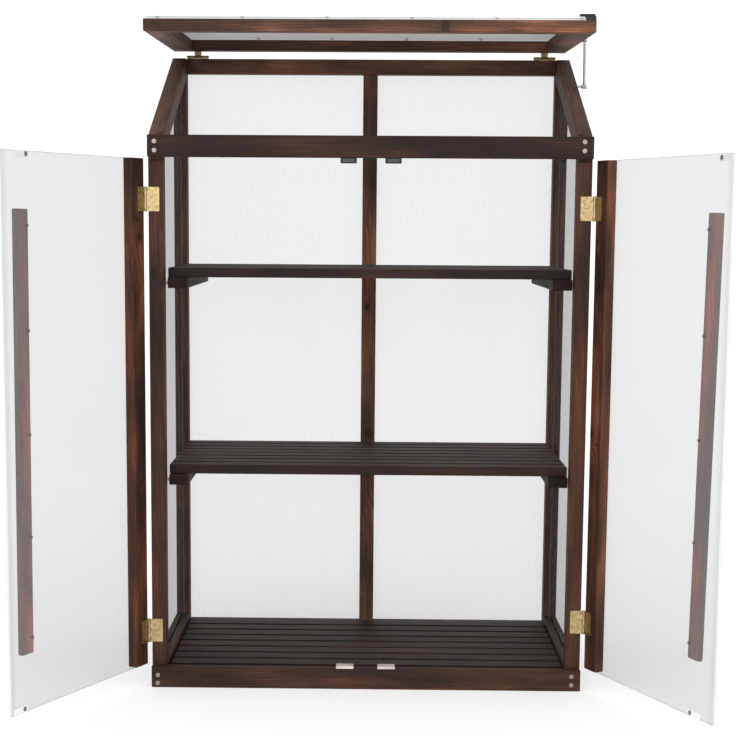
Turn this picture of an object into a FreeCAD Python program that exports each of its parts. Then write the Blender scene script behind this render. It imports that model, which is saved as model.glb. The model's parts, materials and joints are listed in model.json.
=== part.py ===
import FreeCAD, Part
import os
import math

# Wooden mini greenhouse: a slatted three-shelf cabinet of sawn battens with
# twin-wall sheets, two sheet doors on brass butt hinges and a framed lid on a
# sloping top.  Millimetres, +Z up, +X to the right, +Y to the rear.
# The origin is the middle of the underside of the front bottom rail, on the ground.
# Below, Y is first measured from the front faces of the front posts; every
# solid is moved by FRONT at the end.

os.makedirs("parts", exist_ok=True)
V = FreeCAD.Vector

# ---------------------------------------------------------------- driving dimensions
FRONT = 7.5            # front faces of the posts behind the origin (half a bar)
EASE = 0.9             # eased edges of the battens

HALF_W = 370.0         # half the outer width over the posts
POST_W = 25.0          # post width (X)
POST_D = 30.0          # post depth (Y)
REAR_Y = 391.3         # front faces of the rear posts
BACK_Y = REAR_Y + POST_D
IN_X = HALF_W - POST_W

ROOF_Z0 = 939.48       # height of the roof line at the posts' front plane
ROOF_K = 0.42068       # its slope (22.8 degrees)
ROOF_TOP = 1100.9      # flat top of the rear posts and the rear top rail
RAFTER_H = 37.0        # rafter height, square to the slope
RAFTER_V = RAFTER_H * math.sqrt(1 + ROOF_K ** 2)

BAR_T = 15.0           # thickness of the front bars
BAR_Z0, BAR_Z1 = 904.0, 940.3
RAIL_H = 36.9          # height of the front bottom rail
SIDE_Z0, SIDE_Z1 = 5.0, 42.0
BACK_RAIL_Z0 = 1073.6
BACK_FRONT_Y = 392.6   # front faces of the rear frame
BACK_BOTTOM_H = 27.0
MULLION_W = 27.0

SHEET_T = 4.0
SKIN_T = 0.4           # twin-wall sheet: skins, ribs and their pitch
RIB_T = 0.35
RIB_PITCH = 6.0
GROOVE_T = 4.4
GROOVE_D = 8.0
SIDE_SHEET_X = 357.5
BACK_SHEET_Y = 415.2

SHELF_TOPS = {"upper": 720.5, "middle": 384.1, "bottom": 33.9}
DECK_Y0, DECK_Y1 = 26.0, 373.2
SLATS = 8
SLAT_W = 35.0
SLAT_T = 16.0
DECK_X0, DECK_X1 = -340.6, 342.8      # the decks sit a little to the right
BEARERS_X = ((-340.4, -307.2), (309.9, 343.1))
BEARER_H = 18.2
PIN_R = 2.5
PIN_YS = (22.0, 399.0)

HINGE_X, HINGE_Y = 374.67, -1.82      # knuckle axis of the doors
DOOR_OPEN = {"left": 115.55, "right": 113.12}
DOOR_W = 367.05        # knuckle axis to the free edge
DOOR_IN = 18.3         # inner plane of the sheet, from the knuckle axis
STILE_V0 = 0.9
STILE_U0, STILE_U1 = 3.1, 38.3
STILE_Z0, STILE_Z1 = 39.2, 901.8
DOOR_Z0, DOOR_Z1 = 31.9, 902.6
DOOR_HINGE_Z = {"left": (834.8, 97.6), "right": (822.9, 119.1)}
HINGE_H = 40.0
LEAF_T = 1.2
KNUCKLE_R = 2.9
KPIN_R = 1.5
LEAF_END_X = 351.5
STRIP_W, STRIP_T = 29.5, 10.0
STRIP_Z0, STRIP_Z1 = 121.0, 815.0
STRIP_U = {"left": 297.9, "right": 292.6}
STRIP_LEAN = {"left": -0.46, "right": 1.28}

LID_W = 737.0
LID_X = -3.0           # the lid sits a little to the left
LID_D = 465.5
LID_T = 19.4
LID_RAIL = 37.6
LID_TILT = 1.44
LID_REAR_Y, LID_REAR_Z = 425.5, 1116.66
LID_AXIS_Y, LID_AXIS_Z = 424.0, 1106.7
LID_HINGE_X = (-326.5, 327.0)

STAY_X = 387.0
STAY_TOP = (299.0, 1128.2)
STAY_EYE = (292.0, 1045.0)
ROD_R = 2.2

CATCH_H = 4.3          # height of the bottom catches on the rail
CATCH_X = {"top": (-35.2, 39.1), "bottom": (-36.0, 35.2)}

parts = {}


# ---------------------------------------------------------------- helpers
def box(x0, x1, y0, y1, z0, z1):
    return Part.makeBox(x1 - x0, y1 - y0, z1 - z0, V(x0, y0, z0))


def prism(points, x0, x1):
    """A polygon of (Y, Z) corners, drawn out along X."""
    vs = [V(x0, y, z) for y, z in points]
    wire = Part.makePolygon(vs + [vs[0]])
    return Part.Face(wire).extrude(V(x1 - x0, 0, 0))


def cyl(x, y, z, axis, r, h):
    return Part.makeCylinder(r, h, V(x, y, z), V(*axis))


def ease(s, r=EASE):
    """Ease the long edges and ends of a batten."""
    try:
        out = s.makeChamfer(r, s.Edges)
        if out.isValid() and out.Volume > 0.8 * s.Volume:
            return out
    except Exception:
        pass
    return s


def cut(s, *tools):
    tools = [t for t in tools if t is not None]
    return s.cut(Part.makeCompound(tools)) if tools else s


def turned(s, point, axis, deg):
    c = s.copy()
    c.rotate(V(*point), V(*axis), deg)
    return c


def joined(shapes):
    s = shapes[0]
    for t in shapes[1:]:
        s = s.fuse(t)
    return s.removeSplitter()


def screw(x, y, z, d, shank, length, head, cross=True):
    """Countersunk wood screw: head face at (x, y, z), driven along d.
    Returns the screw and the slightly larger tool that makes its hole."""
    d = V(*d)
    r, hr = shank / 2.0, head / 2.0
    hh = hr - r
    p = V(x, y, z)
    tip = 1.6 * r
    s = Part.makeCone(hr, r, hh, p, d)
    s = s.fuse(Part.makeCylinder(r, length - hh - tip, p + d * hh, d))
    s = s.fuse(Part.makeCone(r, 0.25 * r, tip, p + d * (length - tip), d))
    if cross:
        w = hr * 0.24
        a = V(d.y, d.z, d.x)
        b = d.cross(a)
        for u in (a, b):
            q = p + d * (hh * 0.3)
            m = Part.makeBox(2 * hr * 0.52, w, hh * 0.6 + 0.2)
            m.translate(V(-hr * 0.52, -w / 2, -hh * 0.3 - 0.2))
            rot = FreeCAD.Rotation(u, V(0, 0, 0), d, "ZXY")
            m.Placement = FreeCAD.Placement(q, rot).multiply(m.Placement)
            s = s.cut(m)
    g = 0.05
    t = Part.makeCone(hr + g, r + g, hh, p, d)
    t = t.fuse(Part.makeCylinder(r + g, length - hh + 0.3, p + d * hh, d))
    t = t.fuse(Part.makeCylinder(hr + g, 0.4, p - d * 0.4, d))
    return s, t


def pan_screw(x, y, z, d, shank, length, head):
    """Pan-head screw: the head stands on the surface at (x, y, z), driven along d."""
    d = V(*d)
    p = V(x, y, z)
    r = shank / 2.0
    tip = 1.6 * r
    top = Part.makeCylinder(head / 2.0, 1.7, p - d * 1.7, d)
    rim = [e for e in top.Edges if len(e.Vertexes) == 1 and (e.CenterOfMass - (p - d * 1.7)).Length < 0.1]
    top = top.makeFillet(1.1, rim)
    s = top.fuse(Part.makeCylinder(r, length - tip, p, d))
    s = s.fuse(Part.makeCone(r, 0.25 * r, tip, p + d * (length - tip), d))
    return s, Part.makeCylinder(r + 0.05, length + 0.3, p - d * 0.1, d)


def twin_wall(x0, x1, y0, y1, z0, z1, run):
    """Hollow twin-wall sheet in the given box.  run is the axis of its channels;
    the thickness is the smallest side."""
    size = {"x": x1 - x0, "y": y1 - y0, "z": z1 - z0}
    low = {"x": x0, "y": y0, "z": z0}
    unit = {"x": V(1, 0, 0), "y": V(0, 1, 0), "z": V(0, 0, 1)}
    thick = min(size, key=lambda k: size[k])
    across = [k for k in "xyz" if k not in (run, thick)][0]
    w, t = size[across], size[thick]
    o = V(x0, y0, z0)

    def rect(a0, a1, b0, b1):
        ps = [o + unit[across] * a + unit[thick] * b for a, b in
              ((a0, b0), (a1, b0), (a1, b1), (a0, b1))]
        return Part.makePolygon(ps + [ps[0]])

    n = int(round((w - RIB_T) / RIB_PITCH))
    step = (w - RIB_T) / n
    wires = [rect(0, w, 0, t)]
    for i in range(n):
        wires.append(rect(i * step + RIB_T, (i + 1) * step, SKIN_T, t - SKIN_T))
    face = Part.makeFace(wires, "Part::FaceMakerBullseye")
    return face.extrude(unit[run] * size[run])


def mirror_x(s):
    return s.mirror(V(0, 0, 0), V(1, 0, 0))


def put(name, shapes):
    if not isinstance(shapes, (list, tuple)):
        shapes = [shapes]
    solids = []
    for s in shapes:
        solids += s.Solids
    parts[name] = solids


def roof(y):
    return ROOF_Z0 + ROOF_K * y


# ---------------------------------------------------------------- posts, rafters, rails
front_post = ease(prism([(0, 0), (POST_D, 0), (POST_D, roof(POST_D) - RAFTER_V),
                         (0, roof(0) - RAFTER_V)], IN_X, HALF_W))
groove_x0, groove_x1 = SIDE_SHEET_X - GROOVE_T / 2, SIDE_SHEET_X + GROOVE_T / 2
front_groove = box(groove_x0, groove_x1, POST_D - GROOVE_D, POST_D + 1, SIDE_Z1 - GROOVE_D, 960)
front_post = cut(front_post, front_groove)

rear_post = ease(box(IN_X, HALF_W, REAR_Y, BACK_Y, 0, ROOF_TOP))
rear_groove = box(groove_x0, groove_x1, REAR_Y - 1, REAR_Y + GROOVE_D, SIDE_Z1 - GROOVE_D, 1076.5)
back_groove = box(IN_X - 1, IN_X + GROOVE_D, BACK_SHEET_Y - GROOVE_T / 2, BACK_SHEET_Y + GROOVE_T / 2,
                  BACK_BOTTOM_H - GROOVE_D, BACK_RAIL_Z0 + GROOVE_D)
rear_post = cut(rear_post, rear_groove, back_groove)

knee_y = (ROOF_TOP - ROOF_Z0) / ROOF_K
rafter = ease(prism([(0, roof(0) - RAFTER_V), (0, roof(0)), (knee_y, ROOF_TOP), (REAR_Y, ROOF_TOP),
                     (REAR_Y, roof(REAR_Y) - RAFTER_V)], IN_X, HALF_W))
gv = GROOVE_D * math.sqrt(1 + ROOF_K ** 2)
roof_groove = prism([(POST_D - GROOVE_D, roof(POST_D - GROOVE_D) - RAFTER_V - 2),
                     (POST_D - GROOVE_D, roof(POST_D - GROOVE_D) - RAFTER_V + gv),
                     (REAR_Y + 1, roof(REAR_Y + 1) - RAFTER_V + gv),
                     (REAR_Y + 1, roof(REAR_Y + 1) - RAFTER_V - 2)], groove_x0, groove_x1)
rafter = cut(rafter, roof_groove)

side_rail = ease(box(IN_X, HALF_W, POST_D, REAR_Y, SIDE_Z0, SIDE_Z1))
side_rail = cut(side_rail, box(groove_x0, groove_x1, POST_D - 1, REAR_Y + 1,
                               SIDE_Z1 - GROOVE_D, SIDE_Z1 + 1))

g = 0.6
sheet_k = (POST_D - GROOVE_D + g, REAR_Y + GROOVE_D - g)
side_top = roof(REAR_Y) - RAFTER_V + gv - 1.2
side_sheet = twin_wall(SIDE_SHEET_X - SHEET_T / 2, SIDE_SHEET_X + SHEET_T / 2, sheet_k[0], sheet_k[1],
                       SIDE_Z1 - GROOVE_D + g, side_top, "z")
slope0 = roof(sheet_k[0]) - RAFTER_V + gv - 1.2
side_sheet = side_sheet.cut(prism([(sheet_k[0] - 1, slope0 - ROOF_K), (REAR_Y, side_top),
                                   (REAR_Y, side_top + 50), (sheet_k[0] - 1, side_top + 50)],
                                  SIDE_SHEET_X - 5, SIDE_SHEET_X + 5))

top_bar = ease(box(-HALF_W, HALF_W, -BAR_T, 0, BAR_Z0, BAR_Z1))
bottom_rail = ease(box(-HALF_W, HALF_W, -BAR_T, 0, 0, RAIL_H))

back_top = ease(box(-IN_X, IN_X, BACK_FRONT_Y, BACK_Y, BACK_RAIL_Z0, ROOF_TOP))
back_bottom = ease(box(-IN_X, IN_X, BACK_FRONT_Y, BACK_Y, 0, BACK_BOTTOM_H))
mullion = ease(box(-MULLION_W / 2, MULLION_W / 2, BACK_FRONT_Y, BACK_Y, BACK_BOTTOM_H, BACK_RAIL_Z0))
by0, by1 = BACK_SHEET_Y - GROOVE_T / 2, BACK_SHEET_Y + GROOVE_T / 2
back_top = cut(back_top, box(-IN_X - 1, IN_X + 1, by0, by1, BACK_RAIL_Z0 - 1, BACK_RAIL_Z0 + GROOVE_D))
back_bottom = cut(back_bottom, box(-IN_X - 1, IN_X + 1, by0, by1,
                                   BACK_BOTTOM_H - GROOVE_D, BACK_BOTTOM_H + 1))
mullion = cut(mullion,
              box(-MULLION_W / 2 - 1, -MULLION_W / 2 + GROOVE_D, by0, by1, 0, 1090),
              box(MULLION_W / 2 - GROOVE_D, MULLION_W / 2 + 1, by0, by1, 0, 1090))
back_sheet = twin_wall(MULLION_W / 2 - GROOVE_D + g, IN_X + GROOVE_D - g,
                       BACK_SHEET_Y - SHEET_T / 2, BACK_SHEET_Y + SHEET_T / 2,
                       BACK_BOTTOM_H - GROOVE_D + g, BACK_RAIL_Z0 + GROOVE_D - g, "z")

holes = {}


def hole(name, tool):
    holes.setdefault(name, []).append(tool)


# ---------------------------------------------------------------- screws of the frame
bar_screws = []
for x, z, second in ((-358.0, 929.5, "rafter_left"), (-358.0, 914.8, "rafter_left"),
                     (354.5, 931.8, "rafter_right"), (354.5, 917.2, "rafter_right")):
    s, t = screw(x, -BAR_T, z, (0, 1, 0), 4.0, 34.0, 7.4)
    bar_screws.append(s)
    hole("top_bar_front", t)
    hole(second, t)
    hole("post_front_" + second[7:], t)
for x, z in ((-359.0, 21.6), (-359.0, 7.6), (354.5, 26.0), (354.5, 11.0)):
    s, t = screw(x, -BAR_T, z, (0, 1, 0), 4.0, 34.0, 7.4)
    bar_screws.append(s)
    hole("bottom_rail_front", t)
    hole("post_front_left" if x < 0 else "post_front_right", t)

frame_screws = []


def long_screw(x, y, z, d, names):
    s, t = screw(x, y, z, d, 4.5, 52.0, 8.6)
    frame_screws.append(s)
    for n in names:
        hole(n, t)


for side, sx in (("left", -1), ("right", 1)):
    for z in (1086.0, 1094.0):
        long_screw(sx * HALF_W, 404.0, z, (-sx, 0, 0), ["post_rear_" + side, "rear_top_rail"])
    long_screw(sx * HALF_W, 402.5, 13.5, (-sx, 0, 0), ["post_rear_" + side, "rear_bottom_rail"])
    for z in (21.6, 31.0):
        long_screw(sx * 363.6, BACK_Y, z, (0, -1, 0), ["post_rear_" + side, "bottom_rail_" + side])
    for z in (16.0, 31.0):
        long_screw(sx * 364.3, 0, z, (0, 1, 0), ["post_front_" + side, "bottom_rail_" + side])
    long_screw(sx * 364.5, BACK_Y, 1079.5, (0, -1, 0), ["post_rear_" + side, "rafter_" + side])
    # from the top of the rafter down into the front post
    long_screw(sx * 350.0, 12.0, roof(12.0) - 0.4, (0, 0, -1), ["rafter_" + side, "post_front_" + side])
for z, d in ((ROOF_TOP, (0, 0, -1)), (0.0, (0, 0, 1))):
    long_screw(0.0, 402.0, z, d, ["rear_top_rail" if z else "rear_bottom_rail", "rear_mullion"])

# ---------------------------------------------------------------- shelves
pitch = (DECK_Y1 - DECK_Y0 - SLAT_W) / (SLATS - 1)
pins, shelf_screws = [], []
for level, top in SHELF_TOPS.items():
    slats, tools = [], []
    bearer_h = BEARER_H if level != "bottom" else top - SLAT_T
    z1 = top - SLAT_T
    z0 = z1 - bearer_h
    for i in range(SLATS):
        y0 = DECK_Y0 + i * pitch
        slat = ease(box(DECK_X0, DECK_X1, y0, y0 + SLAT_W, z1, top))
        mine = []
        for x in (-323.0, 323.0):
            for dy in (10.0, 25.0):
                s, t = screw(x + (2.0 if (i + int(dy)) % 2 else -2.0), y0 + dy, z0, (0, 0, 1),
                             3.0, bearer_h + 11.5, 5.6)
                shelf_screws.append(s)
                tools.append(t)
                mine.append(t)
        slats.append(cut(slat, *mine))
    by = (15.0, 406.0) if level != "bottom" else (DECK_Y0, DECK_Y1)
    bearers = []
    for sx, (x0, x1) in zip((-1, 1), BEARERS_X):
        b = ease(box(x0, x1, by[0], by[1], z0, z1))
        if level != "bottom":
            zc = (z0 + z1) / 2
            for y in PIN_YS:
                a = sx * 331.0
                pins.append(cyl(a, y, zc, (sx, 0, 0), PIN_R, 354.0 - 331.0))
                t = cyl(sx * 330.6, y, zc, (sx, 0, 0), PIN_R + 0.05, 354.3 - 330.6)
                b = cut(b, t)
                hole(("post_front_" if y < 100 else "post_rear_") + ("left" if sx < 0 else "right"), t)
        b = cut(b, *tools)
        bearers.append(b)
    put("shelf_slats_" + level, slats)
    put("shelf_bearers_" + level, bearers)
put("shelf_pins", pins)
put("shelf_screws", shelf_screws)


# ---------------------------------------------------------------- butt hinges
def knuckles(h, which, count=5):
    """Knuckles of one leaf about the Z axis, five or three in all over the height h."""
    k = h / count
    out = []
    for i in range(count):
        if (i % 2 == 0) == (which == "fixed"):
            z0 = -h / 2 + i * k + (0.15 if i else 0)
            z1 = -h / 2 + (i + 1) * k - (0.15 if i < count - 1 else 0)
            ring = Part.makeCylinder(KNUCKLE_R, z1 - z0, V(0, 0, z0))
            out.append((z0, z1, ring))
    return out


def hinge_leaf(h, width, y0, y1, which, r_bore, count=5, start=KNUCKLE_R + 0.35):
    """A leaf about the Z axis: the plate runs from start to +X, from y0 to y1 in thickness."""
    plate = box(start, width, y0, y1, -h / 2, h / 2)
    corner = [e for e in plate.Edges
              if abs(e.BoundBox.XMin - width) < 1e-6 and abs(e.BoundBox.XMax - width) < 1e-6
              and e.BoundBox.YLength > (y1 - y0) * 0.9]
    plate = plate.makeFillet(1.6, corner)
    shapes = [plate]
    for z0, z1, ring in knuckles(h, which, count):
        shapes.append(ring)
        shapes.append(box(0, start + 0.5, y0, y1, z0, z1))
    leaf = joined(shapes)
    return leaf.cut(Part.makeCylinder(r_bore, h + 2, V(0, 0, -h / 2 - 1)))


def leaf_screws(y_face, direction, width, h, length):
    """Screws of a leaf, their heads in the outer face at y_face."""
    out = []
    for i, z in enumerate((-h * 0.33, 0.0, h * 0.33)):
        x = width * (0.72 if i != 1 else 0.52)
        out.append(screw(x, y_face, z, direction, 2.8, length, 6.0))
    return out


def hinge_pin(h):
    p = Part.makeCylinder(KPIN_R, h + 0.9, V(0, 0, -h / 2 - 0.45))
    for z, d in ((h / 2 + 0.45, 1), (-h / 2 - 0.45, -1)):
        p = p.fuse(Part.makeCone(KPIN_R + 0.55, KPIN_R * 0.6, 0.75, V(0, 0, z - (0.0 if d > 0 else 0.0)), V(0, 0, d)))
    return p.removeSplitter()


fixed_leaves, door_pins, frame_hinge_screws, catch_screws = [], [], [], []
leaf_w = HINGE_X - LEAF_END_X
fixed_template = hinge_leaf(HINGE_H, leaf_w, -HINGE_Y - LEAF_T, -HINGE_Y, "fixed", KPIN_R)
fixed_tools = leaf_screws(-HINGE_Y - LEAF_T, (0, 1, 0), leaf_w, HINGE_H, 17.0)
moving_y0 = -STILE_V0
moving_template = hinge_leaf(HINGE_H, leaf_w, moving_y0, moving_y0 + LEAF_T, "moving", KPIN_R + 0.05)
moving_tools = leaf_screws(moving_y0 + LEAF_T, (0, -1, 0), leaf_w, HINGE_H, 13.5)


def place(s, side, z):
    """From the hinge's own frame (axis Z, leaf to +X) to the closed door's place."""
    c = s.copy()
    if side == "right":
        c = mirror_x(c)
        c.translate(V(HINGE_X, HINGE_Y, z))
    else:
        c.translate(V(-HINGE_X, HINGE_Y, z))
    return c


for side in ("left", "right"):
    for z in DOOR_HINGE_Z[side]:
        leaf = fixed_template
        for s, t in fixed_tools:
            leaf = leaf.cut(t)
            frame_hinge_screws.append(place(s, side, z))
            hole("post_front_" + side, place(t, side, z))
        fixed_leaves.append(place(leaf, side, z))
        door_pins.append(place(hinge_pin(HINGE_H), side, z))

# ---------------------------------------------------------------- doors
# A door is drawn closed, on the left: u runs from the knuckle axis to the free
# edge along +X, v from the axis outwards along -Y.  The right door is its mirror.


def ubox(u0, u1, v0, v1, z0, z1):
    return box(-HINGE_X + u0, -HINGE_X + u1, HINGE_Y - v1, HINGE_Y - v0, z0, z1)


STRIKES = {"left": ((305.6, 897.6), (334.0, 37.8)), "right": ((338.0, 896.2), (305.0, 37.4))}

for side in ("left", "right"):
    sheet = twin_wall(-HINGE_X + STILE_U0, -HINGE_X + DOOR_W, HINGE_Y - DOOR_IN - SHEET_T,
                      HINGE_Y - DOOR_IN, DOOR_Z0, DOOR_Z1, "z")
    stile = ease(ubox(STILE_U0, STILE_U1, STILE_V0, DOOR_IN, STILE_Z0, STILE_Z1))
    u0 = STRIP_U[side]
    strip = ease(ubox(u0, u0 + STRIP_W, DOOR_IN + SHEET_T, DOOR_IN + SHEET_T + STRIP_T, STRIP_Z0, STRIP_Z1), 1.6)
    mid = (-HINGE_X + u0 + STRIP_W / 2, 0, (STRIP_Z0 + STRIP_Z1) / 2)
    lean = STRIP_LEAN[side]
    strip = turned(strip, mid, (0, 1, 0), lean)
    screws, leaves, leaf_fix = [], [], []
    # hinge leaves on the inner face of the stile
    for z in DOOR_HINGE_Z[side]:
        leaf = moving_template
        c = V(-HINGE_X, HINGE_Y, z)
        for s, t in moving_tools:
            leaf = leaf.cut(t)
            a, b = s.copy(), t.copy()
            a.translate(c)
            b.translate(c)
            leaf_fix.append(a)
            stile = stile.cut(b)
        l = leaf.copy()
        l.translate(c)
        leaves.append(l)
    # the sheet on the stile, from the outside
    for i in range(6):
        z = 60.0 + i * 164.0
        s, t = screw(-HINGE_X + 19.5, HINGE_Y - DOOR_IN - SHEET_T, z, (0, 1, 0), 2.8, 15.0, 6.4)
        screws.append(s)
        sheet = sheet.cut(t)
        stile = stile.cut(t)
    # the pull strip, screwed on through the sheet from the inside
    for z in (790.0, 629.0, 468.0, 307.0, 147.0):
        du = (z - mid[2]) * math.tan(math.radians(lean))
        s, t = screw(-HINGE_X + u0 + 7.5 + du, HINGE_Y - DOOR_IN, z, (0, -1, 0), 2.8, 12.5, 5.4)
        screws.append(s)
        sheet = sheet.cut(t)
        strip = strip.cut(t)
    # steel strikes for the magnetic catches: a plate held by one rivet through the sheet
    strikes = []
    for u, z in STRIKES[side]:
        p = ubox(u - 7.0, u + 28.0, DOOR_IN - 0.8, DOOR_IN, z - 5.0, z + 5.0)
        p = p.makeFillet(3.0, [e for e in p.Edges if e.BoundBox.YLength > 0.7])
        rivet = cyl(-HINGE_X + u, HINGE_Y - DOOR_IN + 1.6, z, (0, -1, 0), 4.0, 0.8)
        rivet = rivet.makeFillet(0.5, [e for e in rivet.Edges if e.BoundBox.YMin > HINGE_Y - DOOR_IN + 1.5])
        stem = cyl(-HINGE_X + u, HINGE_Y - DOOR_IN + 1.0, z, (0, -1, 0), 1.6, 5.0)
        tail = cyl(-HINGE_X + u, HINGE_Y - DOOR_IN - SHEET_T, z, (0, -1, 0), 3.4, 1.0)
        p = joined([p, rivet, stem, tail])
        sheet = sheet.cut(cyl(-HINGE_X + u, HINGE_Y - DOOR_IN + 0.5, z, (0, -1, 0), 1.65, SHEET_T + 1.0))
        strikes.append(p)
    group = {"sheet": [sheet], "stile": [stile], "strip": [strip], "strikes": strikes,
             "screws": screws, "hinge_leaves": leaves, "hinge_screws": leaf_fix}
    for key, shapes in group.items():
        out = []
        for s in shapes:
            if side == "right":
                s = mirror_x(s)
                s = turned(s, (HINGE_X, HINGE_Y, 0), (0, 0, 1), DOOR_OPEN[side])
            else:
                s = turned(s, (-HINGE_X, HINGE_Y, 0), (0, 0, 1), -DOOR_OPEN[side])
            out.append(s)
        put("door_%s_%s" % (side, key), out)

# ---------------------------------------------------------------- magnetic catches
housings, magnets = [], []
for x in CATCH_X["top"]:
    z1 = BAR_Z0
    body = box(x - 13.5, x + 13.5, -16.6, 5.0, z1 - 8.6, z1)
    body = body.makeFillet(1.2, [e for e in body.Edges if e.BoundBox.ZMax < z1 - 0.5 or
                                 e.BoundBox.ZLength > 8])
    slot = box(x - 10.5, x + 10.5, -17.0, -9.0, z1 - 7.4, z1 - 1.4)
    body = body.cut(slot)
    housings.append(body)
    mg = box(x - 9.9, x + 9.9, -16.4, -9.0, z1 - 5.6, z1 - 3.2)
    for za, zb in ((z1 - 7.0, z1 - 5.6), (z1 - 3.2, z1 - 1.8)):
        pole = box(x - 9.9, x + 9.9, -18.3, -9.0, za, zb)
        magnets.append(pole)
    magnets.append(mg)
    for sx in (-1, 1):
        s, t = screw(x + sx * 8.0, -5.0, z1 - 8.6, (0, 0, 1), 2.4, 16.0, 5.0)
        housings[-1] = housings[-1].cut(t)
        catch_screws.append(s)
        hole("top_bar_front", t)

# bottom catches: a bright block on the rail with a tab down the rail's rear face
catch_plates = []
for x in CATCH_X["bottom"]:
    z0, z1 = RAIL_H, RAIL_H + CATCH_H
    p = box(x - 15.2, x + 15.2, -18.2, 1.4, z0, z1)
    p = p.makeFillet(1.8, [e for e in p.Edges if e.BoundBox.YLength > 15 and e.BoundBox.ZMin > z0 + 1])
    p = p.makeFillet(0.5, [e for e in p.Edges if e.BoundBox.YMax < -18.1 and e.BoundBox.ZMin > z0 - 0.01
                           and e.BoundBox.ZMax > z0 + 0.1])
    tab = box(x - 13.0, x + 13.0, 0.0, 1.4, z0 - 15.0, z0 + 1.0)
    tab = tab.makeFillet(4.0, [e for e in tab.Edges if e.BoundBox.YLength > 1.0 and e.BoundBox.ZMax < z0 - 14])
    p = p.fuse(tab).removeSplitter()
    for sx in (-1, 1):
        s, t = screw(x + sx * 7.5, 1.4, z0 - 8.6, (0, -1, 0), 2.4, 13.0, 5.0)
        p = p.cut(t)
        catch_screws.append(s)
        hole("bottom_rail_front", t)
    catch_plates.append(p)
put("catch_housings", housings)
put("catch_magnets", magnets)
put("catch_plates", catch_plates)
frame_screws += catch_screws

# ---------------------------------------------------------------- lid
def lid_turn(s):
    return turned(s, (0, LID_REAR_Y, LID_REAR_Z), (1, 0, 0), LID_TILT)


lx0, lx1 = LID_X - LID_W / 2, LID_X + LID_W / 2
ly0, ly1 = LID_REAR_Y - LID_D, LID_REAR_Y
lz0, lz1 = LID_REAR_Z, LID_REAR_Z + LID_T
rail_f = ease(box(lx0, lx1, ly0, ly0 + LID_RAIL, lz0, lz1))
rail_r = ease(box(lx0, lx1, ly1 - LID_RAIL, ly1, lz0, lz1))
rail_a = ease(box(lx0, lx0 + LID_RAIL, ly0 + LID_RAIL, ly1 - LID_RAIL, lz0, lz1))
rail_b = ease(box(lx1 - LID_RAIL, lx1, ly0 + LID_RAIL, ly1 - LID_RAIL, lz0, lz1))
lid_sheet = twin_wall(lx0 + 2, lx1 - 2, ly0 + 2, ly1 - 2, lz1, lz1 + SHEET_T, "y")
lid_screws = []
for i in range(6):
    x = lx0 + 22 + i * (LID_W - 44) / 5.0
    for y, rail in ((ly0 + 18.0, "f"), (ly1 - 18.0, "r")):
        s, t = pan_screw(x, y, lz1 + SHEET_T, (0, 0, -1), 3.0, 17.0, 7.2)
        lid_screws.append(s)
        lid_sheet = lid_sheet.cut(t)
        if rail == "f":
            rail_f = rail_f.cut(t)
        else:
            rail_r = rail_r.cut(t)
for y in (ly0 + 140.0, ly0 + 232.0, ly0 + 325.0):
    s, t = pan_screw(lx0 + 18.5, y, lz1 + SHEET_T, (0, 0, -1), 3.0, 17.0, 7.2)
    lid_screws.append(s)
    lid_sheet = lid_sheet.cut(t)
    rail_a = rail_a.cut(t)
    s, t = pan_screw(lx1 - 18.5, y, lz1 + SHEET_T, (0, 0, -1), 3.0, 17.0, 7.2)
    lid_screws.append(s)
    lid_sheet = lid_sheet.cut(t)
    rail_b = rail_b.cut(t)
# corner joints: two blind dowels across each joint
lid_dowels = []
for y, d in ((ly0 + LID_RAIL, 1), (ly1 - LID_RAIL, -1)):
    for x, n in ((lx0 + 11.0, "a"), (lx0 + 27.0, "a"), (lx1 - 27.0, "b"), (lx1 - 11.0, "b")):
        w = cyl(x, y - 16.0, lz0 + LID_T / 2, (0, 1, 0), 3.0, 32.0)
        w = w.makeChamfer(0.8, [e for e in w.Edges if len(e.Vertexes) == 1])
        t = cyl(x, y - 16.3, lz0 + LID_T / 2, (0, 1, 0), 3.05, 32.6)
        lid_dowels.append(w)
        if d > 0:
            rail_f = rail_f.cut(t)
        else:
            rail_r = rail_r.cut(t)
        if n == "a":
            rail_a = rail_a.cut(t)
        else:
            rail_b = rail_b.cut(t)

# lid hinges: knuckle axis along X, one leaf down the rear rail, one up the lid's rear edge
LEAF_L = 24.0
lower_leaves, lid_pins, upper_leaves = [], [], []
lower_t = hinge_leaf(HINGE_H, LEAF_L, -2.7, -2.7 + LEAF_T, "fixed", KPIN_R, 3)
UP_Y = 1.76
upper_t = hinge_leaf(HINGE_H, LEAF_L + 4.0, UP_Y, UP_Y + LEAF_T, "moving", KPIN_R + 0.05, 3, 11.5)


def axis_turn(s):
    return turned(s, (0, LID_AXIS_Y, LID_AXIS_Z), (1, 0, 0), LID_TILT)


def to_lid(s, x, up):
    """Hinge frame to the lid hinge: Z of the hinge along X; the plate runs down or up."""
    c = s.copy()
    if up:
        rot = FreeCAD.Rotation(V(0, 0, 1), V(0, 1, 0), V(-1, 0, 0), "ZXY")
    else:
        rot = FreeCAD.Rotation(V(0, 0, -1), V(0, 1, 0), V(1, 0, 0), "ZXY")
    c.Placement = FreeCAD.Placement(V(x, LID_AXIS_Y, LID_AXIS_Z), rot).multiply(c.Placement)
    return c


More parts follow.
